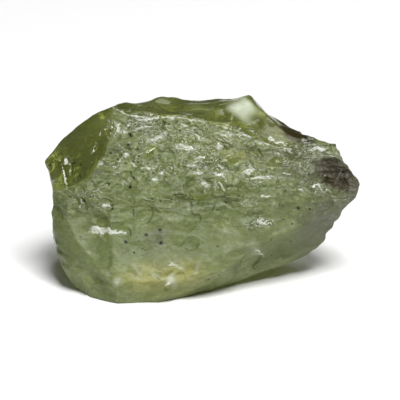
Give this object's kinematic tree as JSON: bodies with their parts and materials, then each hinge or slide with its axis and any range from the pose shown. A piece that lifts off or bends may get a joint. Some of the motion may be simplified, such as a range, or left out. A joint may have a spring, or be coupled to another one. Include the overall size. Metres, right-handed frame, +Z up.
{
  "type": "rough green sapphire",
  "caption": "Broken piece of olive-green sapphire crystal with a ledged front, a raised rear ridge and a narrow end, resting on a small flat spot.",
  "frame": {"origin": "under the middle of the stone, on the surface that it rests on", "axes": "+X along the stone towards its narrow end, -Y out of its rough front, +Z up"},
  "size_m": [0.013, 0.0076, 0.0071],
  "materials": {
    "sapphire": "glassy broken crystal, frosted on the front"
  },
  "bodies": {
    "root": {"sapphire": "sapphire"}
  },
  "joints": []
}
